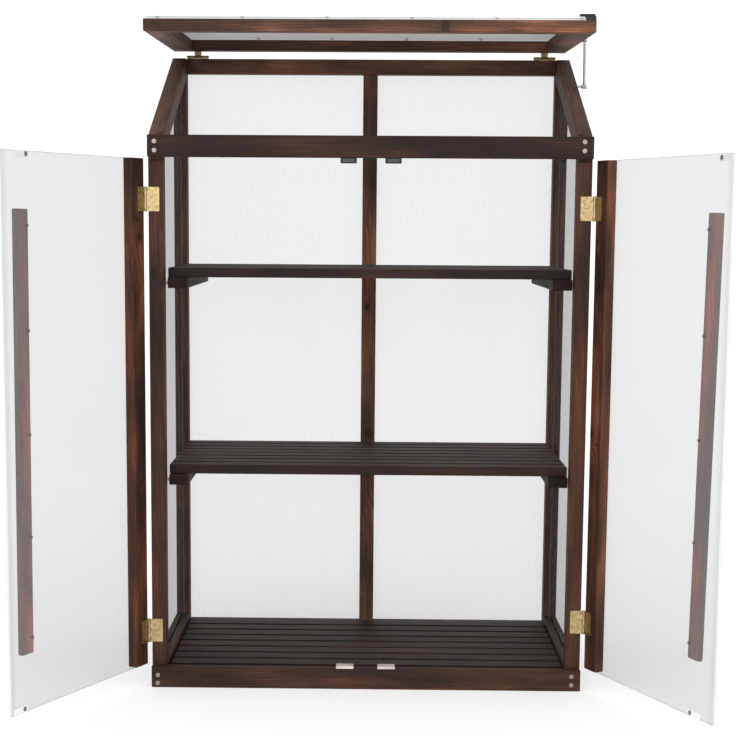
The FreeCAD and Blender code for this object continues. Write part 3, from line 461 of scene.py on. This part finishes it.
def sheet_material(name, inv, origin, step, alpha, base, spec, rim):
    """Haze and the soft lines of the ribs; the channels run along the local b axis."""
    m, net, bsdf = material(name)
    tc = net.node("ShaderNodeTexCoord")
    mp = net.node("ShaderNodeMapping", vector_type="POINT")
    net.put(mp.inputs["Vector"], tc.outputs["Object"])
    mp.inputs["Scale"].default_value = (1000.0, 1000.0, 1000.0)
    mp.inputs["Rotation"].default_value = inv.to_euler("XYZ")
    mp.inputs["Location"].default_value = -origin
    p = mp.outputs[0]
    across = net.split(p)[0]
    turns = net.math("MULTIPLY", across, 2.0 * math.pi / step)
    wave = net.math("COSINE", turns)                      # 1 on a rib, -1 between two
    line = net.span(wave, 0.90, 0.995)
    haze = net.noise(net.vec("MULTIPLY", p, (0.010, 0.0025, 0.01)), 1.0, 2.0, 0.5)
    a = net.math("MULTIPLY_ADD", wave, alpha * 0.02, alpha)
    a = net.math("MULTIPLY_ADD", line, alpha * 0.07, a)
    a = net.math("MULTIPLY_ADD", net.math("SUBTRACT", haze, 0.5), alpha * 0.12, a)
    if rim is not None:                                   # denser towards the free edge
        near = net.span(across, rim[0], rim[1])
        a = net.math("MULTIPLY_ADD", near, alpha * 0.36, a)
    net.put(bsdf.inputs["Alpha"], a)
    net.put(bsdf.inputs["Base Color"], net.ramp(haze, [(0.3, tuple(c * 0.96 for c in base)), (0.7, tuple(c * 1.04 for c in base))]))
    net.put(bsdf.inputs["Roughness"], net.math("MULTIPLY_ADD", haze, 0.10, 0.26))
    net.put(bsdf.inputs["Normal"], net.bump(wave, 0.05, 0.0002))
    bsdf.inputs["IOR"].default_value = 1.5
    bsdf.inputs["Specular IOR Level"].default_value = spec
    return m


def edge_material():
    """Cut edges of the sheets: milky, brighter than the skins."""
    m, net, bsdf = material("twin_wall_edge")
    haze = net.noise(object_mm(net), 0.05, 2.0, 0.5)
    fine = net.noise(object_mm(net), 1.5, 3.0, 0.6)
    f = net.math("ADD", net.math("MULTIPLY", haze, 0.6), net.math("MULTIPLY", fine, 0.4))
    net.put(bsdf.inputs["Base Color"], net.ramp(f, [(0.3, (0.60, 0.60, 0.61)), (0.7, (0.74, 0.74, 0.75))]))
    net.put(bsdf.inputs["Alpha"], net.math("MULTIPLY_ADD", fine, 0.16, 0.34))
    net.put(bsdf.inputs["Roughness"], net.math("MULTIPLY_ADD", fine, 0.2, 0.4))
    net.put(bsdf.inputs["Normal"], net.bump(fine, 0.15, 0.0002))
    return m


EDGE = edge_material()


def panel(node, body, a, b, alpha, base, spec=0.5, top=None, free=0):
    """A twin-wall sheet: two skins closed along their sides, with the channels open at both ends.
    a is the direction across the channels, b along them; top(a) is the upper end where it is cut on a slope."""
    a, b = Vector(a).normalized(), Vector(b).normalized()
    c = a.cross(b)
    inv = Matrix((a, b, c))
    pts = [inv @ v.co * 1000.0 for v in NODES[node].data.vertices]
    a0, a1 = min(p.x for p in pts), max(p.x for p in pts)
    b0, b1 = min(p.y for p in pts), max(p.y for p in pts)
    c0, c1 = min(p.z for p in pts) + 0.05, max(p.z for p in pts) - 0.05
    n = int(round((a1 - a0 - RIB) / CELL))
    step = (a1 - a0 - RIB) / n
    stops = [a0]
    for i in range(n):
        stops += [a0 + i * step + RIB, a0 + (i + 1) * step]
    stops.append(a1)
    rows = (c0, c0 + SKIN, c1 - SKIN, c1)
    out = inv.transposed()
    verts, faces = [], []

    def add(x, y, z):
        verts.append(out @ Vector((x, y, z)) * 0.001)
        return len(verts) - 1

    ends = []
    for upper in (False, True):
        def level(x):
            return b0 if not upper else (b1 if top is None else min(b1, top(x)))
        grid = [[add(x, level(x), z) for z in rows] for x in stops]
        for i in range(len(stops) - 1):
            for r in range(3):
                if r == 1 and i % 2 == 1:
                    continue
                q = [grid[i][r], grid[i + 1][r], grid[i + 1][r + 1], grid[i][r + 1]]
                faces.append(q[::-1] if upper else q)
        deep = -OPEN if upper else OPEN
        for i in range(1, len(stops) - 1, 2):
            ring = [grid[i][1], grid[i + 1][1], grid[i + 1][2], grid[i][2]]
            inner = [add(stops[k], level(stops[k]) + deep, rows[r]) for k, r in ((i, 1), (i + 1, 1), (i + 1, 2), (i, 2))]
            for k in range(4):
                q = [ring[k], ring[(k + 1) % 4], inner[(k + 1) % 4], inner[k]]
                faces.append(q[::-1] if upper else q)
            faces.append(inner[::-1] if upper else inner)
        ends.append(grid)
    low, high = ends
    last = len(stops) - 1
    skins = (len(faces), len(faces) + 1)
    faces.append([low[i][0] for i in range(last, -1, -1)] + [high[i][0] for i in range(last + 1)])
    faces.append([low[i][3] for i in range(last + 1)] + [high[i][3] for i in range(last, -1, -1)])
    faces.append([low[0][r] for r in range(4)] + [high[0][r] for r in (3, 2, 1, 0)])
    faces.append([low[last][r] for r in (3, 2, 1, 0)] + [high[last][r] for r in range(4)])
    mesh = bpy.data.meshes.new("panel_" + node)
    mesh.from_pydata(verts, [], faces)
    bm = bmesh.new()
    bm.from_mesh(mesh)
    bmesh.ops.recalc_face_normals(bm, faces=bm.faces)
    bm.to_mesh(mesh)
    bm.free()
    obj = bpy.data.objects.new("panel_" + node, mesh)
    scene.collection.objects.link(obj)
    width = a1 - a0
    rim = {0: None, 1: (width - 19.0, width - 8.0), -1: (19.0, 8.0)}[free]
    mesh.materials.append(sheet_material("twin_wall_" + node, inv, Vector((a0 + RIB / 2, 0, (c0 + c1) / 2)), step,
                                         alpha, base, spec, rim))
    mesh.materials.append(EDGE)
    for i, face in enumerate(mesh.polygons):
        face.material_index = 0 if i in skins else 1
    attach(obj, body)
    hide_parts(node)
    return obj


X, Y, Z = Vector((1, 0, 0)), Vector((0, 1, 0)), Vector((0, 0, 1))


def side_top(y):
    return 906.82 + 0.42068 * (y - 7.5)


# painted light and shade: the sheets share one material, set as lit and shaded copies: the rear sheets get a lighter
# base, the door sheets a middle one, the lid and side sheets a much darker base
for side in ("left", "right"):
    panel("rear_sheet_" + side, "cabinet", X, Z, 0.195, (0.42, 0.42, 0.43))
    panel("side_sheet_" + side, "cabinet", Y, Z, 0.327, (0.078, 0.072, 0.084), 0.0, side_top)
panel("door_left_sheet", "door_left", left_turn @ X, Z, 0.223, (0.325, 0.325, 0.33), free=1)
panel("door_right_sheet", "door_right", right_turn @ X, Z, 0.215, (0.34, 0.34, 0.35), free=-1)
panel("lid_sheet", "lid", X, tilt @ Y, 0.50, (0.27, 0.26, 0.26), 0.1)


# ------------------------------------------------------------------ metal and plastic
def metal_material(name, dark, light, rough, scale, scratch, bump=0.25):
    m, net, bsdf = material(name)
    p = object_mm(net)
    patch = net.noise(p, scale, 4.0, 0.6)
    cuts = net.noise(net.vec("MULTIPLY", p, scratch), 1.0, 3.0, 0.7)
    f = net.math("ADD", net.math("MULTIPLY", patch, 0.7), net.math("MULTIPLY", cuts, 0.3))
    net.put(bsdf.inputs["Base Color"], net.ramp(f, [(0.32, dark), (0.62, light)]))
    net.put(bsdf.inputs["Roughness"], net.math("ADD", net.math("MULTIPLY_ADD", patch, 0.22, rough - 0.11),
                                              net.math("MULTIPLY", net.math("SUBTRACT", cuts, 0.5), 0.12)))
    net.put(bsdf.inputs["Normal"], net.bump(f, bump, 0.0002))
    bsdf.inputs["Metallic"].default_value = 1.0
    return m


BRASS = metal_material("hinge_brass", (0.20, 0.128, 0.050), (0.50, 0.39, 0.205), 0.36, 0.16, (0.3, 0.3, 2.5), 0.12)
ZINC = metal_material("screw_steel", (0.13, 0.095, 0.085), (0.40, 0.33, 0.31), 0.38, 0.7, (2.0, 2.0, 0.4))
STAY = metal_material("stay_steel", (0.16, 0.16, 0.168), (0.39, 0.39, 0.40), 0.36, 0.4, (2.0, 2.0, 0.2))
BRIGHT = metal_material("bright_steel", (0.46, 0.41, 0.40), (0.66, 0.575, 0.555), 0.42, 0.06, (0.05, 0.6, 0.6), 0.04)
POLE = metal_material("catch_steel", (0.03, 0.03, 0.032), (0.09, 0.09, 0.09), 0.38, 0.5, (0.3, 2.0, 2.0))


def plastic_material(name):
    m, net, bsdf = material(name)
    p = object_mm(net)
    patch = net.noise(p, 0.12, 3.0, 0.5)
    grain = net.noise(p, 3.5, 3.0, 0.6)
    net.put(bsdf.inputs["Base Color"], net.ramp(patch, [(0.3, (0.010, 0.010, 0.011)), (0.75, (0.024, 0.024, 0.025))]))
    net.put(bsdf.inputs["Roughness"], net.math("MULTIPLY_ADD", grain, 0.22, 0.36))
    net.put(bsdf.inputs["Normal"], net.bump(grain, 0.35, 0.00012))
    bsdf.inputs["Specular IOR Level"].default_value = 0.2
    return m


PLASTIC = plastic_material("black_plastic")
SLOT_MATS = {"hinge_brass": BRASS, "screw_steel": ZINC, "stay_steel": STAY, "bright_steel": BRIGHT,
             "catch_steel": POLE, "black_plastic": PLASTIC}
for part in frame["record"]["subparts"]:
    if part["material_slot"] in SLOT_MATS:
        wear(NODES[part["node"]], SLOT_MATS[part["material_slot"]])


def strike_material(side):
    """Bright plates; the rivet heads, which stand off the plates, are dark."""
    m = BRIGHT.copy()
    m.name = "strike_" + side
    net = Net(m.node_tree)
    bsdf = m.node_tree.nodes["Principled BSDF"]
    sx = -1 if side == "left" else 1
    normal = (left_turn if side == "left" else right_turn) @ Vector((0, -1, 0))
    axis = Vector((sx * 374.67, 5.68, 0.0))
    off = net.math("ADD", net.vec("DOT_PRODUCT", object_mm(net), tuple(normal)), -normal.dot(axis))
    head = net.math("LESS_THAN", off, 17.35)
    ramp = bsdf.inputs["Base Color"].links[0].from_node
    ramp.color_ramp.elements[0].color = (0.84, 0.83, 0.825, 1)
    ramp.color_ramp.elements[1].color = (0.96, 0.95, 0.94, 1)
    old = ramp.outputs[0]
    bsdf.inputs["Metallic"].default_value = 0.6
    speck = net.noise(object_mm(net), 1.2, 3.0, 0.6)
    dark = net.ramp(speck, [(0.3, (0.13, 0.128, 0.126)), (0.7, (0.23, 0.225, 0.22))])
    net.put(bsdf.inputs["Base Color"], net.mix(head, old, dark))
    return m


for side in ("left", "right"):
    wear(NODES["door_%s_strikes" % side], strike_material(side))
